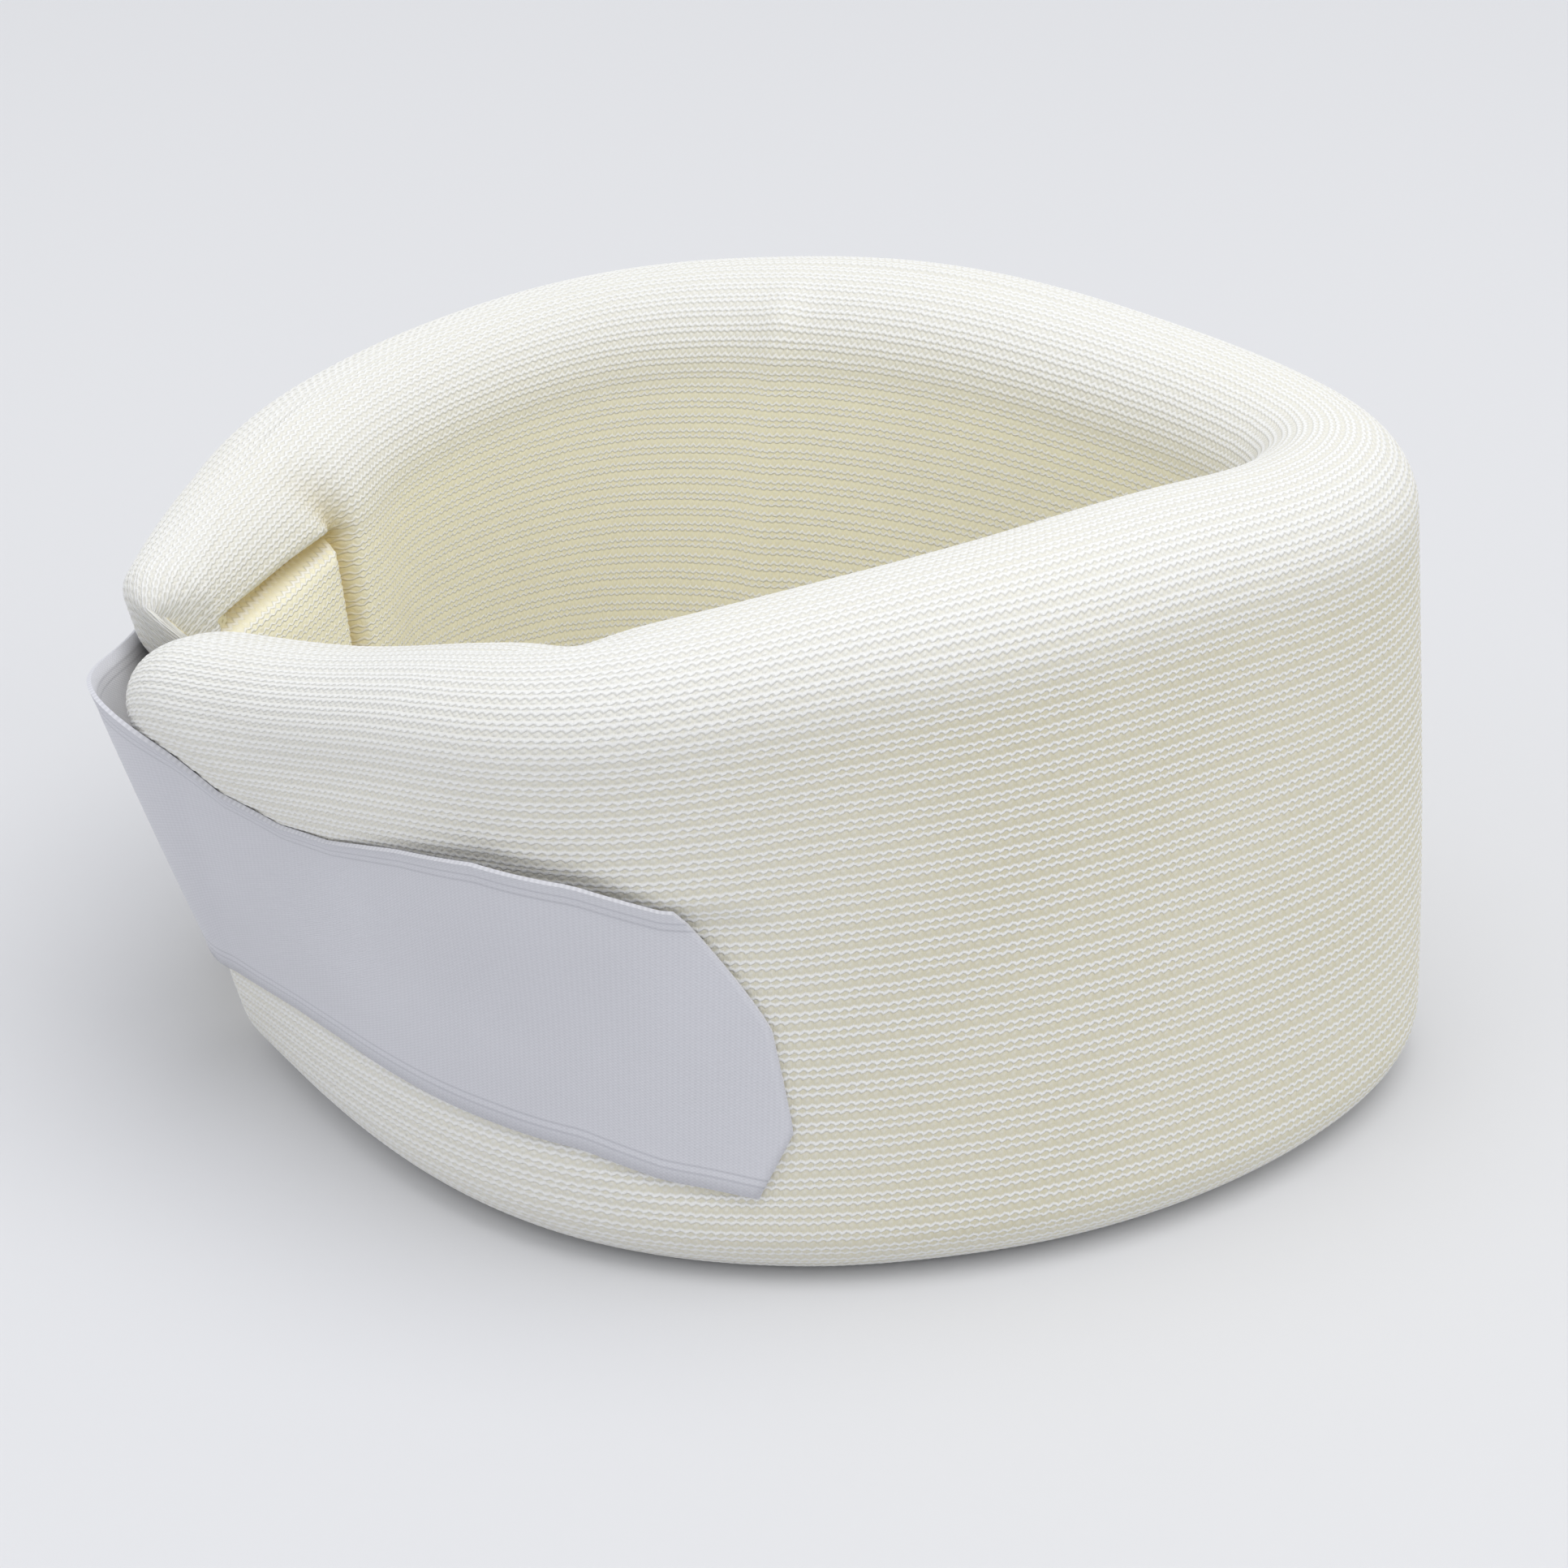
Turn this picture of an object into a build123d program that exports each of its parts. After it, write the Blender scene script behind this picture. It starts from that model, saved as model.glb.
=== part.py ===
from build123d import *
import os
from math import ceil, pi, radians, sin, tan

# A soft cervical collar: one contoured slab of foam in a tubular ribbed knit cover,
# rolled into an almond-shaped ring that stands on its lower edge. A hook tape is sewn
# to the outer face of the far end, folds round the closure and grips the near end.
# The origin is on the table, under the middle of the ring. +X runs from the closure
# towards the bend opposite it, +Y to the far wall, +Z up. All sizes are millimetres.

# --- overall sizes -----------------------------------------------------------------
ring_length = 174.0         # along X, closure to bend
ring_width = 142.0          # along Y, near wall to far wall
height_middle = 88.0        # the slab stands tallest at the bend
height_end = 65.0           # and is narrower where its two ends meet
height_rise = 140.0         # length of slab over which it grows from end to middle

# --- slab and cover ----------------------------------------------------------------
foam_thickness = 20.0
cover_thickness = 1.2
cover_ease = 0.15           # slack between the foam and the knit
lower_edge_radius = 7.5
upper_edge_radius = 9.5
closure_gap = 1.0           # between the two ends
hinge_gap = 0.4             # between the two halves at the bend
hinge_stand_off = 0.2       # the hinge line outside the cover's outermost point
section_count = 17          # cross sections along each half

# --- closing seams of the knit tube ------------------------------------------------
seam_width = 1.8
seam_height = 0.9
seam_margin = 9.0           # from the seam's end to the slab's edge

# --- hook tape ---------------------------------------------------------------------
strap_width = 38.0
strap_thickness = 1.1
strap_base = 15.0           # lower edge of the tape above the lower edge of the slab
strap_reach = 94.0          # from the closure to the tape's tip along the near wall
strap_peel_start = 36.0     # from the closure to the edge of the sewn part
strap_sewn_length = 27.0
peel_stand_off = 0.2        # the peel line outside the tape's outer face
tip_upper_clip = (15.0, 16.0)   # how far the upper corner is clipped, along and down
tip_lower_clip = (4.5, 9.0)     # and the lower corner, along and up
fold_cut_in = 2.75          # the fold cuts the corner of the walls' outer faces by this
fold_sections = 5           # cross sections round the fold
tape_step = 6.0             # between two other cross sections of the tape
end_clear = 2.0             # the tape leaves the walls this far before their ends
clip_over = 2.0             # the clipping cuts run this far past the tape's edges
hook_height = 0.9
hook_margin = 2.5           # bare selvedge above and below the hooks
hook_clear = 0.03           # between the tape and the hooks on its inner face
grip_gap = 0.35             # between the hooks and the knit they grip
sewn_gap = 0.7              # between the sewn part and the knit under it

# --- box stitch --------------------------------------------------------------------
stitch_length = 2.6
stitch_pitch = 3.9
stitch_width = 0.7
stitch_height = 0.35
stitch_inset = 3.0
stitch_lift = 0.1           # keeps a straight stitch clear of the curved tape

# Plan of the slab's middle line, as shares of half the ring's length and width,
# walking from the closure along the near wall, round the bend and back along the far
# wall. Each stop gives the line on the table first and the line on the top second.
plan_stops = [
    ((-0.77, 0.13), (-0.98, -0.14)),      # closure, where both ends meet
    ((-0.655, -0.21), (-0.665, -0.41)),   # near end, leaning outwards
    ((-0.29, -0.70), (-0.29, -0.675)),    # near kink
    ((0.16, -0.79), (0.17, -0.58)),       # near wall, leaning back
    ((0.61, -0.56), (0.575, -0.34)),
    ((0.79, -0.34), (0.75, -0.20)),       # into the bend
    ((0.86, -0.11), (0.815, -0.015)),     # middle of the bend
    ((0.79, 0.12), (0.75, 0.185)),        # out of the bend
    ((0.60, 0.31), (0.55, 0.42)),
    ((0.045, 0.65), (0.02, 0.84)),        # soft fold in the far wall
    ((-0.34, 0.79), (-0.36, 0.945)),
    ((-0.69, 0.565), (-0.78, 0.65)),      # far corner, over the crease
    ((-0.77, 0.13), (-0.98, -0.14)),      # closure again
]
bend_stop = 6
slab_thickness = foam_thickness + 2 * (cover_thickness + cover_ease)
half_slab = slab_thickness / 2
up = Vector(0, 0, 1)


def plan_point(shares):
    return Vector(shares[0] * ring_length / 2, shares[1] * ring_width / 2)


table_points = [plan_point(stop[0]) for stop in plan_stops]
top_points = [plan_point(stop[1]) for stop in plan_stops]
middle_points = [(low + high) / 2 for low, high in zip(table_points, top_points)]
walked = [0.0]
for here, there in zip(middle_points, middle_points[1:]):
    walked.append(walked[-1] + (there - here).length)
slab_length = walked[-1]
bend_at = walked[bend_stop]


def slope_at(points, stop):
    """Direction of a smooth line through the points, at one of its stops."""
    before, after = max(stop - 1, 0), min(stop + 1, len(points) - 1)
    if before == stop or after == stop:
        return (points[after] - points[before]) / (walked[after] - walked[before])
    into, out = walked[stop] - walked[before], walked[after] - walked[stop]
    slope_in = (points[stop] - points[before]) / into
    slope_out = (points[after] - points[stop]) / out
    return (slope_out * into + slope_in * out) / (into + out)


def along_line(points, walk):
    """Point and direction of a smooth line through the points, at a distance along it."""
    stop = max(i for i in range(len(walked) - 1) if i == 0 or walked[i] <= walk)
    span = walked[stop + 1] - walked[stop]
    t = (walk - walked[stop]) / span
    start, end = points[stop], points[stop + 1]
    leave, arrive = slope_at(points, stop) * span, slope_at(points, stop + 1) * span
    place = (
        start * (2 * t**3 - 3 * t**2 + 1)
        + leave * (t**3 - 2 * t**2 + t)
        + end * (3 * t**2 - 2 * t**3)
        + arrive * (t**3 - t**2)
    )
    heading = (
        (start - end) * (6 * t**2 - 6 * t)
        + leave * (3 * t**2 - 4 * t + 1)
        + arrive * (3 * t**2 - 2 * t)
    )
    return place, heading.normalized()


def wall_height(walk):
    """Height of the slab at a distance along it, from either end."""
    from_end = min(walk, slab_length - walk, height_rise)
    return height_end + (height_middle - height_end) * sin(pi / 2 * from_end / height_rise)


def wall_frame(walk, shift=0.0):
    """The slab's cross plane at a distance along it: x outwards, y up the wall."""
    low, low_heading = along_line(table_points, walk)
    high, high_heading = along_line(top_points, walk)
    high += up * wall_height(walk)
    along = (low_heading + high_heading).normalized()
    outwards = along.cross(up)
    rise = high - low
    plane = Plane(origin=low + along * shift, x_dir=outwards, z_dir=outwards.cross(rise))
    return plane, plane.to_local_coords(low + along * shift + rise)


def band(plane, crown, width, low_margin, high_margin):
    """A slanted strip on the plane, from its origin to the crown, less the margins."""
    lean = crown.X / crown.Y
    foot, head = low_margin, crown.Y - high_margin
    with BuildSketch(plane) as strip:
        with BuildLine():
            Polyline(
                (lean * foot - width / 2, foot),
                (lean * foot + width / 2, foot),
                (lean * head + width / 2, head),
                (lean * head - width / 2, head),
                close=True,
            )
        make_face()
    return strip.sketch


def wall_section(walk, inset=0.0, shift=0.0):
    """Rounded cross section of the slab; inset shrinks it evenly on all sides."""
    plane, crown = wall_frame(walk, shift)
    with BuildSketch(plane) as section:
        add(band(Plane.XY, crown, slab_thickness - 2 * inset, inset, inset))
        fillet(section.vertices().group_by(Axis.Y)[0], lower_edge_radius - inset)
        fillet(section.vertices().group_by(Axis.Y)[-1], upper_edge_radius - inset)
    return section.sketch


def evenly(first, last, count):
    return [first + (last - first) * i / (count - 1) for i in range(count)]


# The two ends are cut square, far enough from the closure to clear each other.
closure_angle = min(
    along_line(points, 0)[1].get_angle(along_line(points, slab_length)[1] * -1)
    for points in (table_points, top_points)
)
end_setback = half_slab / tan(radians(closure_angle / 2)) + closure_gap / 2
foam_setback = end_setback + cover_thickness + cover_ease
near_walks = evenly(end_setback, bend_at, section_count)
far_walks = evenly(bend_at, slab_length - end_setback, section_count)
near_foam_walks = [foam_setback] + near_walks[1:]
far_foam_walks = far_walks[:-1] + [slab_length - foam_setback]


def slab(walks, inset, shift):
    """Sections of one half; the one at the bend keeps its share of the hinge gap."""
    return [wall_section(walk, inset, shift if walk == bend_at else 0.0) for walk in walks]


foam_inset = cover_thickness + cover_ease

# --- foam slab, as two halves that meet at the bend ----------------------------------
with BuildPart() as foam_near:
    loft(sections=slab(near_foam_walks, foam_inset, -hinge_gap / 2), ruled=True)
foam_near.part.label = "foam_near"

with BuildPart() as foam_far:
    loft(sections=slab(far_foam_walks, foam_inset, hinge_gap / 2), ruled=True)
foam_far.part.label = "foam_far"

# --- knit cover, closed at the closure and open at the bend --------------------------
with BuildPart() as cover_near:
    loft(sections=slab(near_walks, 0.0, -hinge_gap / 2), ruled=True)
    hollow = slab(near_foam_walks, cover_thickness, -hinge_gap / 2)
    loft(sections=hollow, ruled=True, mode=Mode.SUBTRACT)
cover_near.part.label = "cover_near"

with BuildPart() as cover_far:
    loft(sections=slab(far_walks, 0.0, hinge_gap / 2), ruled=True)
    hollow = slab(far_foam_walks, cover_thickness, hinge_gap / 2)
    loft(sections=hollow, ruled=True, mode=Mode.SUBTRACT)
cover_far.part.label = "cover_far"


# --- closing seams, one down the middle of each end ----------------------------------
def end_seam_face(walk):
    plane, crown = wall_frame(walk)
    return band(plane, crown, seam_width, seam_margin, seam_margin), plane.z_dir


near_seam_face, near_seam_out = end_seam_face(end_setback)
with BuildPart() as near_end_seam:
    extrude(near_seam_face, amount=seam_height, dir=near_seam_out)
near_end_seam.part.label = "near_end_seam"

far_seam_face, far_seam_in = end_seam_face(slab_length - end_setback)
with BuildPart() as far_end_seam:
    extrude(far_seam_face, amount=seam_height, dir=far_seam_in * -1)
far_end_seam.part.label = "far_end_seam"


# --- hook tape -----------------------------------------------------------------------
def tape_stop(walk, stand_off):
    """Lower and upper points of the tape's middle line on the wall, and its outward side."""
    plane, crown = wall_frame(walk)
    lean = crown.X / crown.Y
    low_high = [
        plane.from_local_coords((lean * height + half_slab + stand_off, height))
        for height in (strap_base, strap_base + strap_width)
    ]
    return low_high[0], low_high[1], plane.x_dir


def fold_stops(arrive, leave, count):
    """The tape's middle line where it folds round the closure, on an even curve."""
    stops = []
    for t in evenly(0, 1, count + 2)[1:-1]:
        edges = []
        for side, height in ((0, strap_base), (1, strap_base + strap_width)):
            share = height / height_end
            apex = table_points[0] + (top_points[0] - table_points[0]) * share
            apex += up * height + Vector(fold_cut_in - half_slab, 0, 0)
            pull = apex * 2 - (arrive[side] + leave[side]) / 2
            edge = arrive[side] * (1 - t) ** 2 + pull * (2 * t * (1 - t)) + leave[side] * t**2
            heading = (pull - arrive[side]) * (1 - t) + (leave[side] - pull) * t
            edges.append((edge, heading.normalized()))
        heading = (edges[0][1] + edges[1][1]).normalized()
        stops.append((edges[0][0], edges[1][0], heading.cross(up).normalized()))
    return stops


def tape_section(stop, thickness, margin=0.0):
    low, high, outwards = stop
    plane = Plane(origin=low, x_dir=outwards, z_dir=outwards.cross(high - low))
    return band(plane, plane.to_local_coords(high), thickness, margin, margin)


sewn_off = sewn_gap + strap_thickness / 2
grip_off = grip_gap + hook_height + strap_thickness / 2
sewn_far = slab_length - strap_peel_start - strap_sewn_length
sewn_near = slab_length - strap_peel_start

with BuildPart() as strap_anchor:
    loft(
        sections=[
            tape_section(tape_stop(walk, sewn_off), strap_thickness)
            for walk in evenly(sewn_far, sewn_near, 5)
        ],
        ruled=True,
    )
strap_anchor.part.label = "strap_anchor"


def wall_stops(first, last, stand_off):
    count = max(3, round(abs(last - first) / tape_step) + 1)
    return [tape_stop(walk, stand_off) for walk in evenly(first, last, count)]


far_stops = wall_stops(sewn_near + hinge_gap, slab_length - end_setback - end_clear, sewn_off)
near_stops = wall_stops(end_setback + end_clear, strap_reach, grip_off)
bent_stops = fold_stops(far_stops[-1], near_stops[0], fold_sections)
hook_off = grip_gap + hook_height / 2 - hook_clear
hook_stops = wall_stops(end_setback + end_clear, strap_reach, hook_off)
hook_first = 2              # the hooks start two sections after the fold
hook_last = len(hook_stops) - ceil(tip_upper_clip[0] / tape_step) - 1
tip_low, tip_high, tip_out = tape_stop(strap_reach, grip_off)
tip_along = tip_out.cross(tip_low - tip_high).normalized()
tip_plane = Plane(origin=tip_low, x_dir=tip_along, z_dir=tip_along.cross(tip_high - tip_low))

with BuildPart() as strap_free:
    loft(
        sections=[
            tape_section(stop, strap_thickness)
            for stop in far_stops + bent_stops + near_stops
        ],
        ruled=True,
    )
    with BuildSketch(tip_plane):
        for corner, clip, way in ((0, tip_lower_clip, 1), (strap_width, tip_upper_clip, -1)):
            slope = clip[1] / clip[0]
            with BuildLine():
                Polyline(
                    (-clip[0] - clip_over / slope, corner - way * clip_over),
                    (clip_over, corner - way * clip_over),
                    (clip_over, corner + way * (clip[1] + slope * clip_over)),
                    close=True,
                )
            make_face()
    extrude(amount=half_slab, both=True, mode=Mode.SUBTRACT)
strap_free.part.label = "strap_free"

with BuildPart() as strap_hooks:
    loft(
        sections=[
            tape_section(stop, hook_height, hook_margin)
            for stop in hook_stops[hook_first : hook_last + 1]
        ],
        ruled=True,
    )
strap_hooks.part.label = "strap_hooks"


# --- box stitch that holds the tape to the cover --------------------------------------
def stitch_spots():
    """Middle of each stitch as (walk, height), and whether it runs along the tape."""
    first, last = sewn_far + stitch_inset, sewn_near - stitch_inset
    foot, head = strap_base + stitch_inset, strap_base + strap_width - stitch_inset
    along_count = int((last - first) / stitch_pitch)
    up_count = int((head - foot) / stitch_pitch)
    spots = []
    for i in range(along_count):
        walk = first + (last - first) * (i + 0.5) / along_count
        spots += [(walk, foot, True), (walk, head, True)]
    for i in range(1, up_count - 1):
        height = foot + (head - foot) * (i + 0.5) / up_count
        spots += [(first, height, False), (last, height, False)]
    return spots


with BuildPart() as strap_stitching:
    for walk, height, runs_along in stitch_spots():
        plane, crown = wall_frame(walk)
        surface = half_slab + sewn_gap + strap_thickness + stitch_height / 2 + stitch_lift
        centre = plane.from_local_coords((crown.X / crown.Y * height + surface, height))
        slope = plane.from_local_coords(crown) - plane.origin
        with Locations(Plane(origin=centre, x_dir=plane.x_dir, z_dir=plane.x_dir.cross(slope))):
            if runs_along:
                Box(stitch_height, stitch_width, stitch_length)
            else:
                Box(stitch_height, stitch_length, stitch_width)
strap_stitching.part.label = "strap_stitching"

# --- joints: where the collar opens and where the tape peels -------------------------
bend_plane, bend_crown = wall_frame(bend_at)
outermost = max(bend_plane.origin.X, bend_plane.from_local_coords(bend_crown).X) + half_slab
hinge_x = outermost + hinge_stand_off
hinge_y = bend_plane.origin.Y
peel_low, peel_high, peel_side = tape_stop(sewn_near, sewn_off)
peel_point = (peel_low + peel_high) / 2 + peel_side * (strap_thickness / 2 + peel_stand_off)

pieces = [
    foam_far,
    cover_far,
    far_end_seam,
    strap_anchor,
    strap_stitching,
    foam_near,
    cover_near,
    near_end_seam,
    strap_free,
    strap_hooks,
]

# --- write every piece, with the ring's footprint centred on the origin --------------
boxes = [piece.part.bounding_box() for piece in pieces]
lowest = Vector(min(box.min.X for box in boxes), min(box.min.Y for box in boxes))
highest = Vector(max(box.max.X for box in boxes), max(box.max.Y for box in boxes))
footprint_centre = (lowest + highest) / 2
to_origin = Location(footprint_centre * -1)
os.makedirs("parts", exist_ok=True)
for piece in pieces:
    label = piece.part.label
    moved = piece.part.moved(to_origin)
    moved.label = label
    export_step(moved, f"parts/{label}.step")

print("slab length", round(slab_length, 2), "bend at", round(bend_at, 2))
print("box", highest - lowest, "footprint centre", footprint_centre)
print("hinge", Vector(hinge_x, hinge_y) - footprint_centre)
print("peel", peel_point - footprint_centre, "along", (peel_low - peel_high).normalized())
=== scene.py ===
from math import pi, radians, tan

import bpy
import numpy as np
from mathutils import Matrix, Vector


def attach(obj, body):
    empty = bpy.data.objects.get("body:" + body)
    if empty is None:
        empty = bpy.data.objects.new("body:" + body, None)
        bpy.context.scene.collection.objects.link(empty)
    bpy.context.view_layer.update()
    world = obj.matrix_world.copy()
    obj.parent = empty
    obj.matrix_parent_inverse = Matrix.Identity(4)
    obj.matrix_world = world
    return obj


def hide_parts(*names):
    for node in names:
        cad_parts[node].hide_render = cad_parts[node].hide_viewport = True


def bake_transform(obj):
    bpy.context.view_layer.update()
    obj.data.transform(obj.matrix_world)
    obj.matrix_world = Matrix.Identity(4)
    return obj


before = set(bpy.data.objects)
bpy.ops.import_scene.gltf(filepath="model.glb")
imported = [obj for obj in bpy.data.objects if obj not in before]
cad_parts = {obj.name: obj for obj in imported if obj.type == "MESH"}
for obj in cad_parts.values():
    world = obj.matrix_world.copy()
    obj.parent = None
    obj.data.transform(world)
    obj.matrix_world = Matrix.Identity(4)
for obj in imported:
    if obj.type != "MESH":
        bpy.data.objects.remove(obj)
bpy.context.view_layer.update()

# A soft cervical collar: a foam slab in a tubular rib knit cover, rolled into a ring and
# closed by a wide hook tape.
MM = 0.001

# --- slab and cover ---------------------------------------
slab_thickness = 22.6
upper_roll = 10.6           # radius of the rounded upper edge
lower_roll = 8.6
face_crown = 0.05           # how much fuller the slab is at half height, as a share
end_nose = 9.5              # length of the rounded end
end_inset = 9.9             # how far the cover draws in at the closing seam
end_thinning = 14.5         # how much thinner the far end is squeezed
least_width = 1.2           # what is left of the width at the tip of an end
knit_thickness = 1.2
inner_pitch = 3.0           # between columns of the knit's inner skin
foam_clearance = 0.3        # between the knit's inner face and the foam
foam_pitch = 2.0

# --- rib knit ---------------------------------------------
wale_count = 86
stitch_length = 1.1
leg_places = (0.0, 0.31, 0.5, 0.69)     # gap, leg, valley and leg of one wale
leg_heights = (0.0, 1.0, 0.55, 1.0)
wale_relief = 0.27
leg_sway = 0.132            # sideways zigzag of a leg
leg_beat = 0.16             # how much lower every other half stitch lies

# --- where the cover is split for the joint, along the slab ---
near_border = 131.0
far_border = 252.0

# --- hook tape, hooks and stitches ------------------------
tape_thickness = 0.6
tape_width = 37.5
tape_sewn = 27.0
tape_clear = 0.12           # between the tape and the knit under it
tape_begins = 55            # the sewn edge is this far before the slab's far end
tape_leaves = 6             # and here the tape turns away from the far wall
tape_reach = 88.2           # the tip, along the near wall
tip_length = 28             # length that narrows towards the tip
hook_length = 0.95
hook_pitch = 1.6
grip_begins = 18            # place of the first hooks along the near wall
stitch_inset = 3.0          # box stitch, from the edges of the sewn part
stitch_pitch = 2.9
seam_pitch = 1.5            # between loops of a closing seam
# Stops along the near wall: distance, lower edge, upper edge, and how far the upper edge
# stands off. By the fold the foam bulges over the tape's upper edge.
near_tape = np.array(
    [
        (5.5, 16.8, 54.0, 0.0),
        (14.0, 17.2, 49.5, 0.0),
        (24.0, 18.0, 48.0, 0.0),
        (33.0, 18.2, 48.8, 0.0),
        (46.0, 17.8, 52.6, 1.0),
        (57.0, 17.6, 55.8, 3.2),
        (66.0, 17.2, 54.8, 2.4),
        (74.0, 14.6, 51.3, 0.8),
        (88.2, 12.4, 50.4, 0.0),
    ]
)
far_tape = (15.5, 53.0)     # lower and upper edge along the far wall
# How far the tip is cut back from the lower edge, level 0, to the upper, level 1.
tip_cut = np.array(
    [(0, 4.1), (0.255, 0), (0.43, 1.5), (0.61, 3.1), (0.72, 6.2), (0.93, 12.6), (1, 15)]
)

# Table point, top point and height of the slab's middle line, walking from the near end
# along the near wall, round the bend and back along the far wall.
slab_stops = np.array(
    [
        (-60.5, -5.7, -77, -19.7, 65),  # near end, leaning outwards
        (-53, -19.7, -55, -33.7, 69),
        (-40, -38.7, -39, -43.7, 74),
        (-22, -54.7, -22, -52.7, 79),   # near kink
        (3, -61.7, 5, -49.7, 84),
        (31, -57.7, 31, -40.7, 87),
        (55, -44, 52.5, -28.5, 88),
        (70, -28, 66.8, -18.5, 88),
        (76.2, -12.5, 72.6, -5.7, 88),  # middle of the bend
        (70.6, 3.3, 66.6, 8.3, 88),
        (54.5, 17.3, 50.5, 25.3, 88),
        (33, 29.3, 29, 41.3, 88),
        (7, 41.3, 5, 54.8, 85),         # soft fold of the far wall
        (-23, 51.3, -25, 62.3, 79),
        (-44.5, 47.3, -48.5, 55, 73.5),
        (-56, 35.3, -64, 41.3, 69),     # far corner
        (-58, 21.3, -71.5, 21.3, 66),
        (-58.5, 11.8, -73.5, 1.3, 65),  # far end
    ],
    float,
)
slab_start = 6.5            # the near end is this far along the first stops


def spline(knots, values, at):
    """Natural cubic spline through the values."""
    gaps = np.diff(knots)
    system = np.eye(len(knots))
    pull = np.zeros_like(values)
    for i in range(1, len(knots) - 1):
        system[i, i - 1 : i + 2] = gaps[i - 1], 2 * (gaps[i - 1] + gaps[i]), gaps[i]
        after = (values[i + 1] - values[i]) / gaps[i]
        before = (values[i] - values[i - 1]) / gaps[i - 1]
        pull[i] = 6 * (after - before)
    bend = np.linalg.solve(system, pull)
    i = np.clip(np.searchsorted(knots, at, side="right") - 1, 0, len(gaps) - 1)
    gap = gaps[i][:, None]
    left, right = (knots[i + 1] - at)[:, None], (at - knots[i])[:, None]
    curve = (bend[i] * left**3 + bend[i + 1] * right**3) / (6 * gap)
    curve += (values[i] / gap - bend[i] * gap / 6) * left
    return curve + (values[i + 1] / gap - bend[i + 1] * gap / 6) * right


def distances(points):
    """Distance walked along a chain of points, from its first."""
    return np.r_[0, np.cumsum(np.linalg.norm(np.diff(points, axis=0), axis=1))]


stop_middles = (slab_stops[:, 0:2] + slab_stops[:, 2:4]) / 2
stop_walks = distances(stop_middles)
traced = spline(stop_walks, slab_stops, np.linspace(0, stop_walks[-1], 4000))
traced_middle = (traced[:, 0:2] + traced[:, 2:4]) / 2
traced_walks = distances(traced_middle)
traced_along = np.gradient(traced_middle, axis=0)
traced_along /= np.linalg.norm(traced_along, axis=1)[:, None]
traced_low = np.c_[traced[:, 0:2], np.zeros(len(traced))]
traced_high = traced[:, 2:5]
traced_out = np.c_[traced_along[:, 1], -traced_along[:, 0], np.zeros(len(traced))]
slab_length = traced_walks[-1]


def wall(walk):
    """Foot, crown and outward side of the slab at distances along it; past an end it
    goes straight on."""
    inside = np.clip(walk, 0, slab_length)
    foot, crown, out = (
        np.stack([np.interp(inside, traced_walks, line[:, c]) for c in range(3)], axis=-1)
        for line in (traced_low, traced_high, traced_out)
    )
    along = np.stack([-out[..., 1], out[..., 0], np.zeros_like(inside)], axis=-1)
    beyond = (walk - inside)[..., None] * along
    return foot + beyond, crown + beyond, out


def on_wall(walk, height, aside):
    """Point at a height on the slab and a distance to the side of its middle."""
    foot, crown, out = wall(walk)
    share = (height / crown[..., 2])[..., None]
    return foot + (crown - foot) * share + out * np.asarray(aside)[..., None]


def bell(x, width):
    return np.exp(-((x / width) ** 2))


def ease(x, start, end):
    """Smooth step from 0 at start to 1 at end."""
    t = np.clip((x - start) / (end - start), 0, 1)
    return t * t * (3 - 2 * t)


# --- the slab's cross section -----------------------------
def outline(share, width, height, low_radius, high_radius):
    """Sideways place and height round a rounded bar; share 0 is the middle of the foot,
    and it goes up the outer face and down the inner one."""
    straight = height - low_radius - high_radius
    marks = np.cumsum(
        [
            width / 2 - low_radius,
            pi / 2 * low_radius,
            straight,
            pi / 2 * high_radius,
            width / 2 - high_radius,
        ],
        axis=0,
    )
    side = np.where(share <= 0.5, 1.0, -1.0)
    run = np.minimum(share, 1 - share) * 2 * marks[4]
    low_turn = np.clip((run - marks[0]) / low_radius, 0, pi / 2)
    high_turn = np.clip((run - marks[2]) / high_radius, 0, pi / 2)
    up = np.clip(run - marks[1], 0, straight)
    x = np.minimum(run, marks[0]) + low_radius * np.sin(low_turn)
    x -= high_radius * (1 - np.cos(high_turn)) + np.clip(run - marks[3], 0, None)
    y = low_radius * (1 - np.cos(low_turn)) + up + high_radius * np.sin(high_turn)
    return side * x, y


def past_end(walk):
    """Distance past the nearer end of the slab, negative along the slab."""
    return np.maximum(slab_start - walk, walk - slab_length)


def end_shape(walk, nose, depth):
    """How far a rounded end draws in at a place up to nose past the slab's ends."""
    share = np.clip(past_end(walk) / nose, 0, 1)
    return depth * (1 - np.sqrt(1 - share**2))


def far_thinning(walk):
    """The far end is squeezed thin by its inner face, from the far corner on."""
    return end_thinning * ease(walk, 348, 391)


# --- folds and swellings of the padded wall, as (walk, height) on its inner face ---
crease_apex = (354.6, 56.4)
crease_to_closure = (386.0, 54.0)
crease_down = (357.6, 38.0)
crease_foot = (359.0, 12.0)
crease_up = (356.0, 66.0)
ridge_top = (268.7, 80.0)
ridge_foot = (273.5, 30.0)
crease_bank = 348.0         # walk of the swelling beside the crease
corner_swell = 369.0        # walk of the swelling in the far corner
near_kink = 60.0            # walk of the kink in the near rim


def to_stroke(walk, height, start, end):
    """Distance from a straight stroke on the wall, and how far along it the place is."""
    run = np.array(end) - np.array(start)
    t = ((walk - start[0]) * run[0] + (height - start[1]) * run[1]) / (run @ run)
    t = np.clip(t, 0, 1)
    away = np.hypot(walk - start[0] - run[0] * t, height - start[1] - run[1] * t)
    return away, t


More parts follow.
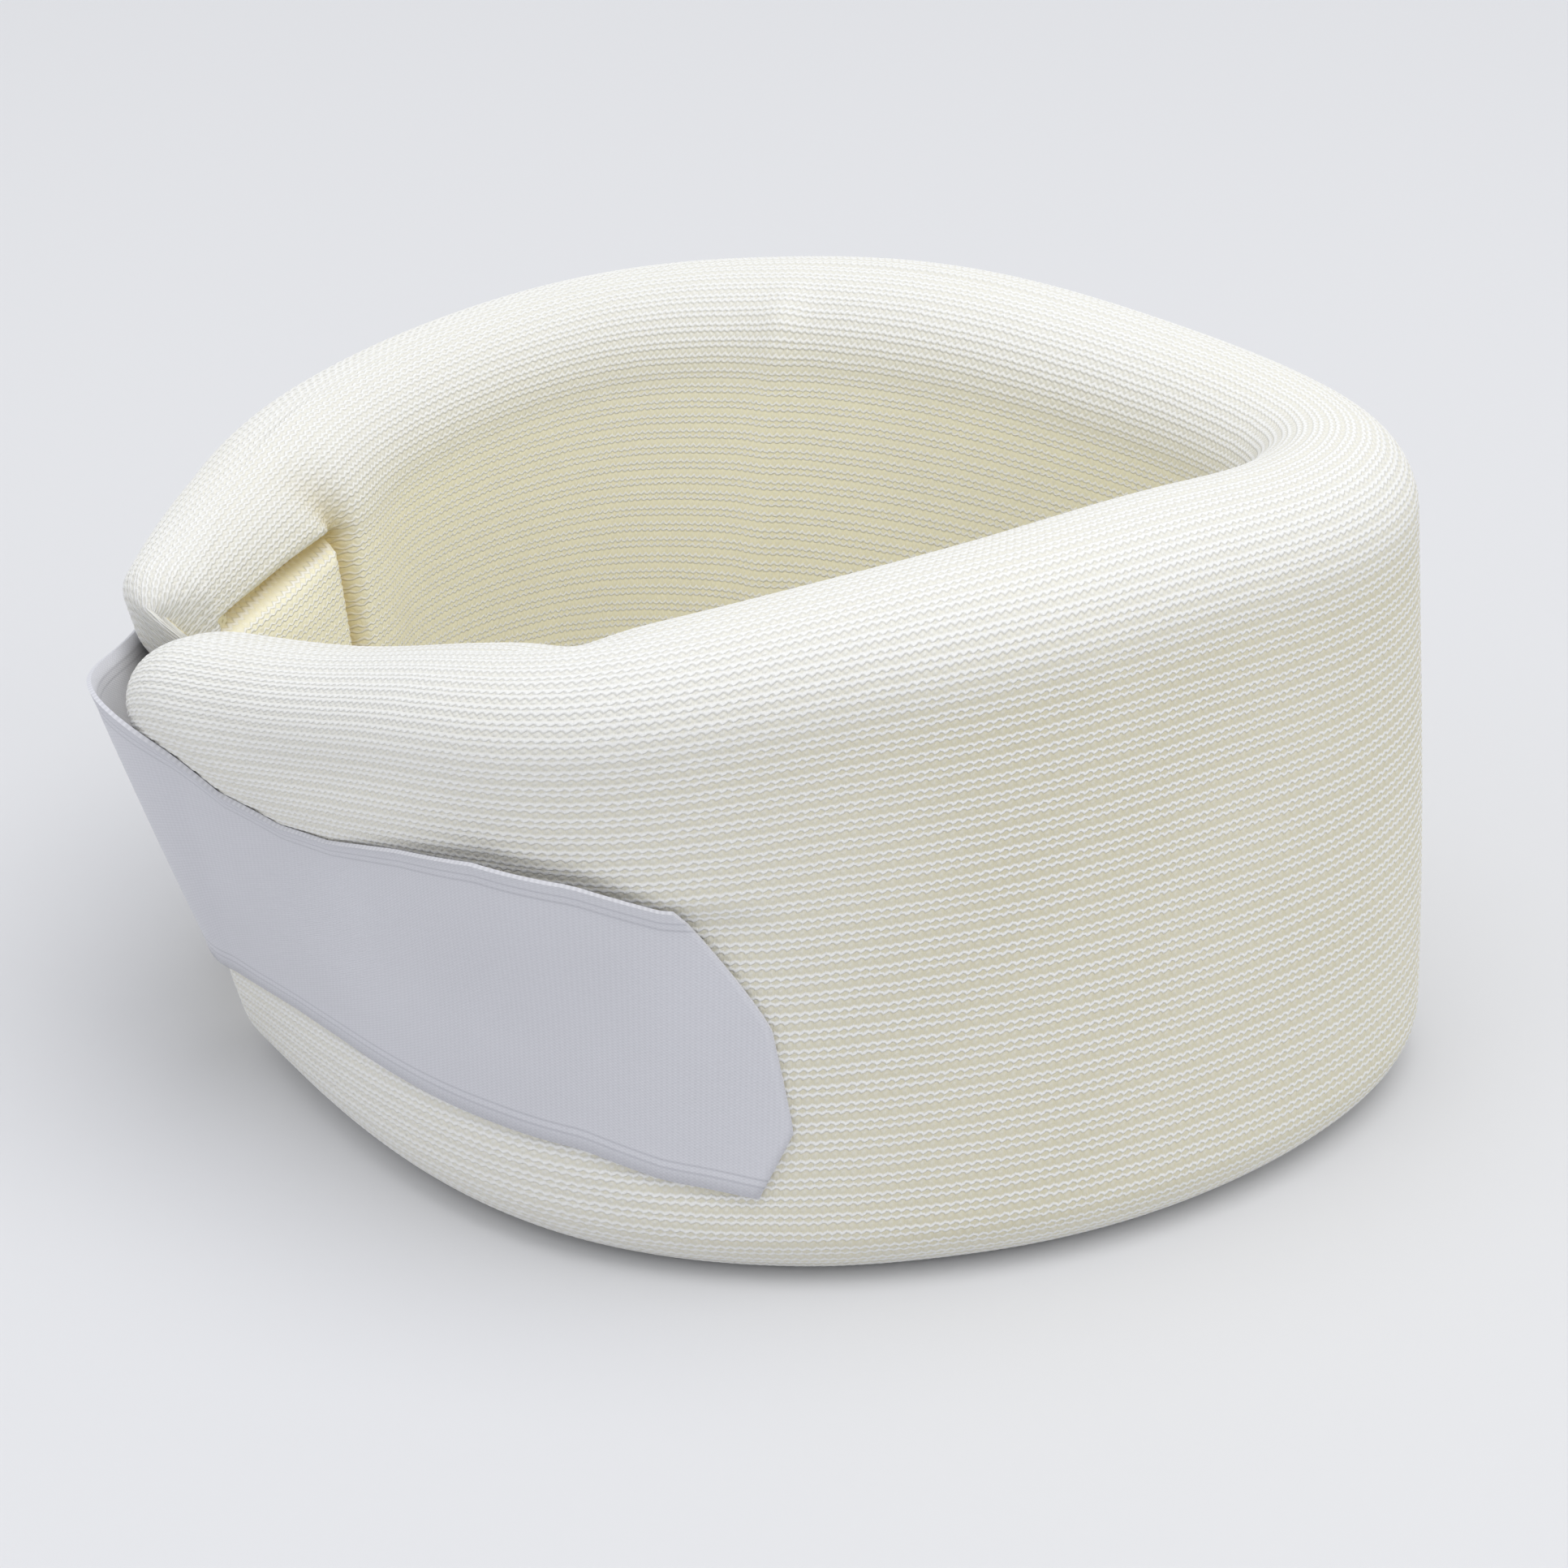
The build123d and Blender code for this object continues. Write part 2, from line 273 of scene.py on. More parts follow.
def crease(walk, height, widened=1.0):
    """Depth share of the three-armed crease in the far corner, 1 at its deepest."""
    closure_arm, closure_t = to_stroke(walk, height, crease_apex, crease_to_closure)
    down_arm, _ = to_stroke(walk, height, crease_apex, crease_down)
    foot_arm, foot_t = to_stroke(walk, height, crease_down, crease_foot)
    up_arm, up_t = to_stroke(walk, height, crease_apex, crease_up)
    arms = [
        bell(closure_arm, 1.15 * widened) * (1 - 0.25 * closure_t),
        bell(down_arm, 1.4 * widened),
        bell(foot_arm, (1.25 + 2 * foot_t) * widened) * (1 - 0.6 * foot_t),
        bell(up_arm, (1.5 + 2.5 * up_t) * widened) * 0.7 * (1 - up_t),
    ]
    return np.maximum.reduce(arms)


def outer_face(height, crown_height):
    """Distance of the slab's plain outer face from its middle, at a height."""
    low_gap = np.clip(lower_roll - height, 0, lower_roll)
    high_gap = np.clip(height - crown_height + upper_roll, 0, upper_roll)
    x = slab_thickness / 2 + 0 * height
    x = x - lower_roll + np.sqrt(lower_roll**2 - low_gap**2)
    x = x - upper_roll + np.sqrt(upper_roll**2 - high_gap**2)
    return x * (1 + face_crown * np.sin(pi * height / crown_height))


def outer_press(walk, height):
    """How the tape presses into the outer face, and how the foam bulges above it."""
    low, high = (np.interp(walk, *near_tape[:, [0, c]].T) for c in (1, 2))
    band = ease(height, low - 4, low + 3) * (1 - ease(height, high - 2.5, high + 1.5))
    press = band * ease(walk, 0, 8) * (1 - ease(walk, 78, 88))
    far_band = ease(height, far_tape[0] - 4, far_tape[0] + 3)
    far_band = far_band * (1 - ease(height, far_tape[1] - 2.5, far_tape[1] + 1.5))
    press = press + far_band * ease(walk, slab_length - 60, slab_length - 50)
    bulge = bell(height - high - 4.5, 4.5) * ease(walk, 4, 14) * (1 - ease(walk, 36, 58))
    return 0.8 * bulge - 1.1 * press


def swelling(walk, height, side, crown_height, widened=1.0):
    """Outward displacement of the cover by the folds of the foam."""
    inner = side < 0
    ridge, _ = to_stroke(walk, height, ridge_top, ridge_foot)
    corner = bell(walk - corner_swell, 9) * ease(height, 8, 30) * (1 - ease(height, 48, 60))
    lift = 1.1 * bell(ridge, 3.2) - 4.6 * crease(walk, height, widened) + 2.2 * corner
    lift += 0.9 * bell(walk - crease_bank, 7) * ease(height, 15, 45)
    kink = bell(walk - near_kink, 6) * ease(height, crown_height - 30, crown_height - 6)
    lift -= kink
    slow = 0.25 * np.sin(walk / 19 + 1.3) * np.sin(height / 17 + walk / 61)
    outer = 0.35 * np.sin(walk / 23 + 0.4) * np.sin(height / 21 + 0.9)
    outer = outer * ease(np.minimum(walk, slab_length - walk), 90, 110)
    return np.where(inner, lift + slow, outer + outer_press(walk, height))


def girth_share(wale_place):
    """Wales stand closer at the foot and the inner face than on the outer face."""
    t = wale_place / wale_count
    return t + 0.018 * np.sin(2 * pi * (t - 0.02)) * np.sin(pi * t)


def skin(walk, wale_place, inset, nose, depth):
    """Points of one smooth skin of the slab, on a grid of walks and wale places, with
    the side and height of each on the wall."""
    walk, wale_place = walk[:, None], wale_place[None, :] + 0 * walk[:, None]
    walk = walk + 0 * wale_place
    drawn = inset + end_shape(walk, nose, depth)
    foot, crown, out = wall(walk)
    height = crown[..., 2]
    share = girth_share(wale_place)
    thinning = far_thinning(walk)
    width = np.maximum(slab_thickness - 2 * drawn - thinning, least_width)
    low_radius = np.clip(lower_roll - drawn, 0.5, width / 2)
    high_radius = np.clip(upper_roll - drawn, 0.5, width / 2)
    x, y = outline(share, width, height - 2 * drawn, low_radius, high_radius)
    y = y + drawn
    x = x * (1 + face_crown * np.sin(pi * y / height))
    x = x + np.minimum(thinning, slab_thickness - 2 * drawn - least_width) / 2
    points = foot + (crown - foot) * (y / height)[..., None] + out * x[..., None]
    return points, np.sign(x), y, height


def normals_of(points):
    """Outward normals of a skin that is closed round its girth."""
    along = np.gradient(points, axis=0)
    round_it = np.roll(points, -1, axis=1) - np.roll(points, 1, axis=1)
    normal = np.cross(along, round_it)
    length = np.linalg.norm(normal, axis=2, keepdims=True)
    return normal / np.maximum(length, 1e-9)


# --- objects and meshes -----------------------------------
def put_in_scene(name, data):
    made = bpy.data.objects.new(name, data)
    bpy.context.scene.collection.objects.link(made)
    return made


def new_object(name, points, faces, smooth, material, uv=None):
    """Makes a mesh object from points in millimetres. smooth says it for each face, and
    uv is a list with a pair for each corner of each face."""
    mesh = bpy.data.meshes.new(name)
    counts = np.array([len(face) for face in faces], np.int32)
    corners = np.fromiter((c for face in faces for c in face), np.int32, counts.sum())
    mesh.vertices.add(len(points))
    mesh.vertices.foreach_set("co", (np.asarray(points) * MM).astype(np.float32).ravel())
    mesh.loops.add(len(corners))
    mesh.loops.foreach_set("vertex_index", corners)
    mesh.polygons.add(len(faces))
    starts = np.r_[0, np.cumsum(counts)[:-1]].astype(np.int32)
    mesh.polygons.foreach_set("loop_start", starts)
    mesh.polygons.foreach_set("use_smooth", np.asarray(smooth, bool))
    if uv is not None:
        layer = mesh.uv_layers.new(name="cloth")
        layer.data.foreach_set("uv", np.asarray(uv, np.float32).ravel())
    mesh.update(calc_edges=True)
    mesh.validate()
    mesh.materials.append(material)
    return put_in_scene(name, mesh)


def point_attribute(obj, name, values):
    layer = obj.data.attributes.new(name, "FLOAT", "POINT")
    layer.data.foreach_set("value", np.asarray(values, np.float32).ravel())


def ring_quads(columns, rows, first=0, turned=False):
    """Faces of a grid that is closed round its rows."""
    i, j = np.meshgrid(np.arange(columns - 1), np.arange(rows), indexing="ij")
    i, j = i.ravel(), j.ravel()
    k = (j + 1) % rows
    quads = np.stack([i * rows + j, (i + 1) * rows + j, (i + 1) * rows + k, i * rows + k], 1)
    if turned:
        quads = quads[:, ::-1]
    return (quads + first), i, j


# --- knit cover -------------------------------------------
def wale_places():
    """Place of every lengthwise row of points round the girth, counted in wales."""
    return (np.arange(wale_count)[:, None] + np.array(leg_places)[None, :]).ravel()


def spread_of_knit(walk, side, height, crown_height):
    """How far the rib is stretched open, 0 dense to 1 open with the foam showing."""
    rim = ease(height, crown_height - 16, crown_height - 2)
    along = 0.25 + 0.75 * ease(walk, 35, 115) * (1 - ease(walk, 255, 330) * 0.45)
    along = np.where(side > 0, along, 1.0)
    face = np.where(side > 0, 0.92, 1.0)
    return along * (face * (1 - rim) + 0.25 * rim) * ease(height, -2, 7)


def cover_skin(walks):
    """Outer skin of the knit with its rib relief, the wale places round it, and what the
    knit's colour needs at each point: how open; how folded, for the crease's ochre that is
    partly painted shade; and how far inside, for the inner face's painted glow."""
    places = wale_places()
    points, side, height, crown_height = skin(walks, places, 0.0, end_nose, end_inset)
    normal = normals_of(points)
    walk = walks[:, None]
    gather = 1 - 0.7 * ease(past_end(walk), 2, end_nose)
    points = points + normal * (swelling(walk, height, side, crown_height) * gather)[..., None]
    step = np.round(walks / (stitch_length / 2)).astype(int)
    beat = np.where(step % 2 == 0, 1.0, -1.0)[:, None]
    row = np.arange(len(places)) % len(leg_places)
    sway = np.where(row == 1, 1.0, np.where(row == 3, -1.0, 0.0))[None, :] * beat
    wale_step = np.roll(points, -1, axis=1) - np.roll(points, 1, axis=1)
    wale_step /= np.maximum(np.linalg.norm(wale_step, axis=2, keepdims=True), 1e-9)
    points = points + wale_step * (sway * leg_sway * gather)[..., None]
    spread = spread_of_knit(walk, side, height, crown_height)
    relief = np.array(leg_heights)[row][None, :] * (1 - leg_beat * (0.5 + 0.5 * beat))
    relief = relief * wale_relief * np.where(side > 0, 0.75 + 0.25 * spread, 0.6) * gather
    normal = normals_of(points)
    points = points + normal * relief[..., None]
    points[..., 2] = np.maximum(points[..., 2], 0.0)
    # The fold mask tints the crease ochre: partly foam showing where the yarn spreads, partly
    # painted shade deep in the crease.
    fold = crease(walk, height) * (side < 0)
    # The inside mask paints the inner face's knit lighter and warmer: a painted glow for light
    # bounced round the ring and shining through the foam.
    inside = (side < 0) * (1 - ease(height, crown_height - 14, crown_height - 3))
    return points, places, spread, fold, inside


def inner_skin(walks, inset):
    """Smooth skin at a distance inside the cover, with its crease widened."""
    places = np.arange(wale_count) + 0.0
    nose, depth = end_nose - inset, end_inset - inset
    points, side, height, crown_height = skin(walks, places, inset, nose, depth)
    gather = 1 - ease(past_end(walks)[:, None], 2, nose)
    lift = swelling(walks[:, None], height, side, crown_height, widened=2.8) * gather
    points = points + normals_of(points) * lift[..., None]
    points[..., 2] = np.maximum(points[..., 2], inset)
    return points


def end_walks(nose, first, last, pitch):
    """Walks from first to last; a place past the slab's end crowds towards its tip."""
    start, stop = max(first, slab_start), min(last, slab_length)
    count = int(round((stop - start) / pitch)) + 1
    middle = np.linspace(start, stop, count)
    rounded = nose * np.sin(np.linspace(0, pi / 2, max(6, int(nose * 1.9 / pitch)))[1:])
    if first < slab_start:
        middle = np.r_[slab_start - rounded[::-1], middle]
    if last > slab_length:
        middle = np.r_[middle, slab_length + rounded]
    return middle


def surface_normals(points):
    """Smooth outward normals at the points of a grid closed round its rows."""
    after = np.roll(points, -1, axis=1)
    across = np.cross(after[1:] - points[:-1], after[:-1] - points[1:])
    total = np.zeros_like(points)
    for columns in (slice(0, -1), slice(1, None)):
        total[columns] += across + np.roll(across, 1, axis=1)
    return total / np.maximum(np.linalg.norm(total, axis=2, keepdims=True), 1e-9)


cover_walks = end_walks(end_nose, slab_start - end_nose, slab_length + end_nose, stitch_length / 2)
cover_grid = cover_skin(cover_walks)
cover_normals = surface_normals(cover_grid[0])


def cover_piece(name, first, last, material):
    """One closed piece of the knit tube between two places along the slab. It is open
    inside, and where the tube goes on, its cut edge closes between the two skins."""
    begin, end = np.searchsorted(cover_walks, (first - 1e-6, last - 1e-6))
    part = slice(begin, min(end, len(cover_walks) - 1) + 1)
    walks = cover_walks[part]
    places = cover_grid[1]
    outer, spread, fold, inside = (cover_grid[k][part] for k in (0, 2, 3, 4))
    first, last = walks[0], walks[-1]
    inner_nose = end_nose - knit_thickness
    inner_walks = end_walks(inner_nose, first, last, inner_pitch)
    inner = inner_skin(inner_walks, knit_thickness)
    columns, rows = outer.shape[:2]
    inner_columns, inner_rows = inner.shape[:2]
    base = columns * rows
    quads, i, j = ring_quads(columns, rows)
    inner_quads, _, _ = ring_quads(inner_columns, inner_rows, base, turned=True)
    wale = np.append(places, wale_count)
    stitch = walks / stitch_length
    corners = ((0, 0), (1, 0), (1, 1), (0, 1))
    uv = [np.stack([stitch[i + a], wale[j + b]], 1) for a, b in corners]
    uv = np.stack(uv, 1).reshape(-1, 2)
    faces = quads.tolist() + inner_quads.tolist()
    smooth = [True] * len(faces)
    rest = len(inner_quads) * 4
    share = rows // inner_rows
    for at_start in (True, False):
        cut = first >= slab_start if at_start else last <= slab_length
        column = 0 if at_start else columns - 1
        inner_column = 0 if at_start else inner_columns - 1
        outer_loop = [column * rows + k for k in range(rows)]
        inner_loop = [base + inner_column * inner_rows + k for k in range(inner_rows)]
        if cut:
            for k in range(inner_rows):
                after = (k + 1) % inner_rows
                edge = [outer_loop[(k * share + n) % rows] for n in range(share + 1)]
                face = edge + [inner_loop[after], inner_loop[k]]
                faces.append(face if at_start else face[::-1])
        else:
            faces.append(outer_loop if at_start else outer_loop[::-1])
            faces.append(inner_loop[::-1] if at_start else inner_loop)
    added = faces[len(smooth) :]
    smooth += [False] * len(added)
    rest += sum(len(face) for face in added)
    uv = np.r_[uv, np.zeros((rest, 2))]
    points = np.r_[outer.reshape(-1, 3), inner.reshape(-1, 3)]
    made = new_object(name, points, faces, smooth, material, uv)
    bare = np.zeros(inner_columns * inner_rows)
    given = np.zeros((len(made.data.loops), 3))
    normals = cover_normals[part].reshape(-1, 3)
    outer_corners = quads.ravel()
    at_cut = (outer_corners < rows) | (outer_corners >= base - rows)
    given[: len(outer_corners)][at_cut] = normals[outer_corners[at_cut]]
    made.data.normals_split_custom_set(given.tolist())
    for label, values in (("spread", spread), ("fold", fold), ("inside", inside)):
        point_attribute(made, label, np.r_[values.ravel(), bare])
    return made


def foam_piece(name, first, last, material):
    """One closed piece of the foam slab inside the cover."""
    inset = knit_thickness + foam_clearance
    walks = end_walks(end_nose - inset, first, last, foam_pitch)
    points = inner_skin(walks, inset)
    columns, rows = points.shape[:2]
    quads, _, _ = ring_quads(columns, rows)
    faces = quads.tolist()
    smooth = [True] * len(faces) + [False] * 2
    faces.append(list(range(rows)))
    faces.append([(columns - 1) * rows + k for k in range(rows)][::-1])
    return new_object(name, points.reshape(-1, 3), faces, smooth, material)


# --- hook tape --------------------------------------------
def tape_path(walks, lows, highs, stands, levels):
    """Points of the tape's middle surface where it lies on the outer face of the slab.
    Its upper edge may stand off from the face."""
    walks = walks[:, None] + 0 * levels
    heights = lows[:, None] + (highs - lows)[:, None] * levels
    crown_height = wall(walks)[1][..., 2]
    aside = outer_face(heights, crown_height) + outer_press(walks, heights)
    aside = aside + wale_relief + tape_clear + tape_thickness / 2
    aside = aside + stands[:, None] * ease(levels, 0.35, 1.0)
    return on_wall(walks, heights, aside)


def tape_grid(levels):
    """Middle surface of the tape, its outward side and the distance along it, with one
    row of points for each level, 0 at the lower edge and 1 at the upper."""
    far_walks = np.linspace(slab_length - tape_begins, slab_length - tape_leaves, 34)
    far_low = np.full_like(far_walks, far_tape[0])
    far = tape_path(far_walks, far_low, far_low + tape_width, 0 * far_low, levels)
    near_walks = np.linspace(near_tape[0][0], tape_reach, 70)
    lows, highs, stands = (np.interp(near_walks, *near_tape[:, [0, c]].T) for c in (1, 2, 3))
    near = tape_path(near_walks, lows, highs, stands, levels)
    leave = far[-1] - far[-2]
    leave /= np.linalg.norm(leave, axis=1)[:, None]
    arrive = near[1] - near[0]
    arrive /= np.linalg.norm(arrive, axis=1)[:, None]
    gap = np.linalg.norm(near[0] - far[-1], axis=1)[:, None]
    t = np.linspace(0, 1, 32)[1:-1, None, None]
    fold = far[-1] * (1 - t) ** 3 + near[0] * t**3
    pull = gap * (0.26 + 0.22 * levels[:, None])
    fold = fold + (far[-1] + leave * pull) * 3 * t * (1 - t) ** 2
    fold = fold + (near[0] - arrive * pull) * 3 * t**2 * (1 - t)
    points = np.concatenate([far, fold, near])
    run = distances(points[:, len(levels) // 2])
    cut = np.interp(levels, *tip_cut.T)
    share = np.clip((run - run[-1] + tip_length) / tip_length, 0, 1)[:, None]
    wanted = run[:, None] - share * cut[None, :]
    for j in range(len(levels)):
        line = points[:, j].copy()
        for c in range(3):
            points[:, j, c] = np.interp(wanted[:, j], run, line[:, c])
    along = np.gradient(points, axis=0)
    up = np.gradient(points, levels, axis=1)
    side = np.cross(along, up)
    side /= np.linalg.norm(side, axis=2, keepdims=True)
    return points, side, wanted


def tape_piece(material):
    """The whole tape as one closed sheet, with its length and width as cloth places."""
    levels = np.linspace(0, 1, 21)
    middle, side, run = tape_grid(levels)
    half = tape_thickness / 2
    outer, inner = middle + side * half, middle - side * half
    columns, rows = outer.shape[:2]
    base = columns * rows
    points = np.r_[outer.reshape(-1, 3), inner.reshape(-1, 3)]
    faces, uv, smooth = [], [], []

    def put(face, is_smooth=True):
        faces.append(face)
        smooth.append(is_smooth)
        for corner in face:
            i, j = divmod(corner % base, rows)
            uv.append((run[i, j], levels[j] * tape_width))

    for i in range(columns - 1):
        for j in range(rows - 1):
            a, b = i * rows + j, (i + 1) * rows + j
            put([a, b, b + 1, a + 1])
            put([base + a + 1, base + b + 1, base + b, base + a])
        low_a, low_b = i * rows, (i + 1) * rows
        high_a, high_b = low_a + rows - 1, low_b + rows - 1
        put([base + low_a, base + low_b, low_b, low_a], False)
        put([high_a, high_b, base + high_b, base + high_a], False)
    for j in range(rows - 1):
        last = (columns - 1) * rows + j
        put([j, j + 1, base + j + 1, base + j], False)
        put([last + 1, last, base + last, base + last + 1], False)
    return new_object("hook_tape", points, faces, smooth, material, uv)


# --- small bent threads and hooks, made by Geometry Nodes ---
def bent_piece_tree(name, material):
    """A tree that puts one small bent rod on every point, turned by its attributes
    along and out, and the identifiers of its sizes."""
    tree = bpy.data.node_groups.new(name, "GeometryNodeTree")
    face = tree.interface
    face.new_socket("Geometry", in_out="INPUT", socket_type="NodeSocketGeometry")
    sizes = {}
    for label in ("Start", "Middle", "End"):
        sizes[label] = face.new_socket(label, in_out="INPUT", socket_type="NodeSocketVector")
    sizes["Radius"] = face.new_socket("Radius", in_out="INPUT", socket_type="NodeSocketFloat")
    face.new_socket("Geometry", in_out="OUTPUT", socket_type="NodeSocketGeometry")
    nodes, links = tree.nodes, tree.links
    given = nodes.new("NodeGroupInput")
    out = nodes.new("NodeGroupOutput")
    rod = nodes.new("GeometryNodeCurveQuadraticBezier")
    rod.inputs["Resolution"].default_value = 5
    for label in ("Start", "Middle", "End"):
        links.new(given.outputs[label], rod.inputs[label])
    circle = nodes.new("GeometryNodeCurvePrimitiveCircle")
    circle.inputs["Resolution"].default_value = 5
    links.new(given.outputs["Radius"], circle.inputs["Radius"])
    swept = nodes.new("GeometryNodeCurveToMesh")
    swept.inputs["Fill Caps"].default_value = True
    links.new(rod.outputs["Curve"], swept.inputs["Curve"])
    links.new(circle.outputs["Curve"], swept.inputs["Profile Curve"])
    turned = None
    for label, axis in (("along", "X"), ("out", "Z")):
        read = nodes.new("GeometryNodeInputNamedAttribute")
        read.data_type = "FLOAT_VECTOR"
        read.inputs["Name"].default_value = label
        align = nodes.new("FunctionNodeAlignRotationToVector")
        align.axis = axis
        if turned is not None:
            align.pivot_axis = "X"
            links.new(turned, align.inputs["Rotation"])
        links.new(read.outputs["Attribute"], align.inputs["Vector"])
        turned = align.outputs["Rotation"]
    put = nodes.new("GeometryNodeInstanceOnPoints")
    links.new(given.outputs["Geometry"], put.inputs["Points"])
    links.new(swept.outputs["Mesh"], put.inputs["Instance"])
    links.new(turned, put.inputs["Rotation"])
    real = nodes.new("GeometryNodeRealizeInstances")
    links.new(put.outputs["Instances"], real.inputs["Geometry"])
    dress = nodes.new("GeometryNodeSetMaterial")
    dress.inputs["Material"].default_value = material
    links.new(real.outputs["Geometry"], dress.inputs["Geometry"])
    links.new(dress.outputs["Geometry"], out.inputs["Geometry"])
    return tree, {label: socket.identifier for label, socket in sizes.items()}


def scatter(name, tree, values, points, along, out):
    """Runs the tree on a cloud of points and keeps the result as a plain mesh."""
    mesh = bpy.data.meshes.new(name + "_places")
    mesh.from_pydata([tuple(p * MM) for p in points], [], [])
    for label, vectors in (("along", along), ("out", out)):
        layer = mesh.attributes.new(label, "FLOAT_VECTOR", "POINT")
        layer.data.foreach_set("vector", np.asarray(vectors, np.float32).ravel())
    holder = put_in_scene(name + "_places", mesh)
    modifier = holder.modifiers.new("bent", "NODES")
    modifier.node_group = tree[0]
    for label, value in values.items():
        if isinstance(value, tuple):
            modifier[tree[1][label]] = [x * MM for x in value]
        else:
            modifier[tree[1][label]] = value
    graph = bpy.context.evaluated_depsgraph_get()
    made_mesh = bpy.data.meshes.new_from_object(holder.evaluated_get(graph), depsgraph=graph)
    made_mesh.name = name
    bpy.data.objects.remove(holder)
    made = put_in_scene(name, made_mesh)
    for polygon in made.data.polygons:
        polygon.use_smooth = True
    return made


# --- materials --------------------------------------------
class Wiring:
    """Short hand for building a node tree."""

    def __init__(self, tree):
        self.tree = tree

    def node(self, kind, **settings):
        made = self.tree.nodes.new(kind)
        for key, value in settings.items():
            setattr(made, key, value)
        return made

    def link(self, source, target):
        if isinstance(source, (int, float, tuple)):
            target.default_value = source
        else:
            self.tree.links.new(source, target)

    def math(self, operation, first, second=0.0, third=0.0, clamp=False):
        made = self.node("ShaderNodeMath", operation=operation, use_clamp=clamp)
        for value, socket in zip((first, second, third), made.inputs):
            self.link(value, socket)
        return made.outputs[0]

    def remap(self, value, low, high, to_low=0.0, to_high=1.0, smooth=True):
        made = self.node("ShaderNodeMapRange")
        made.interpolation_type = "SMOOTHSTEP" if smooth else "LINEAR"
        for given, socket in zip((value, low, high, to_low, to_high), made.inputs):
            self.link(given, socket)
        return made.outputs[0]

    def mix(self, share, first, second):
        made = self.node("ShaderNodeMix", data_type="RGBA")
        self.link(share, made.inputs["Factor"])
        colours = [s for s in made.inputs if s.type == "RGBA"]
        for value, socket in zip((first, second), colours):
            self.link(value, socket)
        return [s for s in made.outputs if s.type == "RGBA"][0]

    def noise(self, where, scale, detail=2.0):
        made = self.node("ShaderNodeTexNoise")
        self.link(where, made.inputs["Vector"])
        made.inputs["Scale"].default_value = scale
        made.inputs["Detail"].default_value = detail
        return made.outputs["Fac"]


def group(name, inputs, outputs):
    """A new shader node group with inputs given as {name: default}; an input with no
    default is a vector. Its outputs are floats."""
    tree = bpy.data.node_groups.new(name, "ShaderNodeTree")
    for label, value in inputs.items():
        kind = "NodeSocketVector" if value is None else "NodeSocketFloat"
        socket = tree.interface.new_socket(label, in_out="INPUT", socket_type=kind)
        if value is not None:
            socket.default_value = value
    for label in outputs:
        tree.interface.new_socket(label, in_out="OUTPUT", socket_type="NodeSocketFloat")
    wires = Wiring(tree)
    given = wires.node("NodeGroupInput")
    out = wires.node("NodeGroupOutput")
    return tree, wires, given.outputs, out.inputs


def rib_knit_group():
    """Rib knit in cloth coordinates, x in stitches and y in wales: a mask of the yarn,
    and the height of its legs and of the loops across the gap."""
    tree, w, given, out = group("rib_knit", {"Cloth": None, "Spread": 1.0}, ("Yarn", "Height"))
    axes = w.node("ShaderNodeSeparateXYZ")
    w.link(given["Cloth"], axes.inputs[0])
    stitch, wale = axes.outputs[0], axes.outputs[1]
    drift = w.noise(given["Cloth"], 0.35, 1.0)
    drift = w.math("MULTIPLY", w.math("SUBTRACT", drift, 0.5), 0.12)
    place = w.math("FRACT", w.math("ADD", wale, drift))
    beat = w.math("PINGPONG", stitch, 0.5)
    sway = w.math("MULTIPLY", w.math("SUBTRACT", beat, 0.25), 0.34)
    first = w.math("ABSOLUTE", w.math("SUBTRACT", w.math("SUBTRACT", place, 0.31), sway))
    second = w.math("ABSOLUTE", w.math("ADD", w.math("SUBTRACT", place, 0.69), sway))
    nearest = w.math("MINIMUM", first, second)
    wide = w.remap(given["Spread"], 0.0, 1.0, 0.24, 0.125, smooth=False)
    leg = w.remap(nearest, 0.03, wide, 1.0, 0.0)
    gap = w.math("ABSOLUTE", w.math("SUBTRACT", place, 0.5))
    bar = w.math("MULTIPLY", w.remap(gap, 0.25, 0.5), w.remap(beat, 0.12, 0.45))
    dense = w.math("SUBTRACT", 1.0, given["Spread"])
    cross = w.math("MULTIPLY", bar, w.math("MULTIPLY_ADD", dense, 0.45, 0.3))
    ply = w.math("SUBTRACT", w.noise(given["Cloth"], 5.0, 3.0), 0.5)
    yarn = w.math("MAXIMUM", leg, cross)
    w.link(w.math("MULTIPLY_ADD", ply, 0.25, yarn, clamp=True), out["Yarn"])
    w.link(w.math("MULTIPLY_ADD", ply, 0.5, yarn), out["Height"])
    return tree


def weave_group():
    """Plain narrow weave in cloth coordinates: picks across and ends along the tape."""
    tree, w, given, out = group("tape_weave", {"Cloth": None, "Pitch": 0.75}, ("Weave", "Height"))
    axes = w.node("ShaderNodeSeparateXYZ")
    w.link(given["Cloth"], axes.inputs[0])
    across = w.math("DIVIDE", axes.outputs[0], given["Pitch"])
    along = w.math("DIVIDE", axes.outputs[1], w.math("MULTIPLY", given["Pitch"], 0.6))
    pick = w.math("SINE", w.math("MULTIPLY", across, 2 * pi))
    end = w.math("SINE", w.math("MULTIPLY", along, 2 * pi))
    fibre = w.math("SUBTRACT", w.noise(given["Cloth"], 3.0, 3.0), 0.5)
    weave = w.math("MULTIPLY_ADD", w.math("MULTIPLY", pick, end), 0.3, 0.5)
    weave = w.math("MULTIPLY_ADD", pick, 0.1, weave)
    w.link(w.math("MULTIPLY_ADD", fibre, 0.5, weave, clamp=True), out["Weave"])
    w.link(weave, out["Height"])
    return tree


def new_material(name):
    material = bpy.data.materials.new(name)
    material.use_nodes = True
    shader = material.node_tree.nodes["Principled BSDF"]
    return material, Wiring(material.node_tree), shader


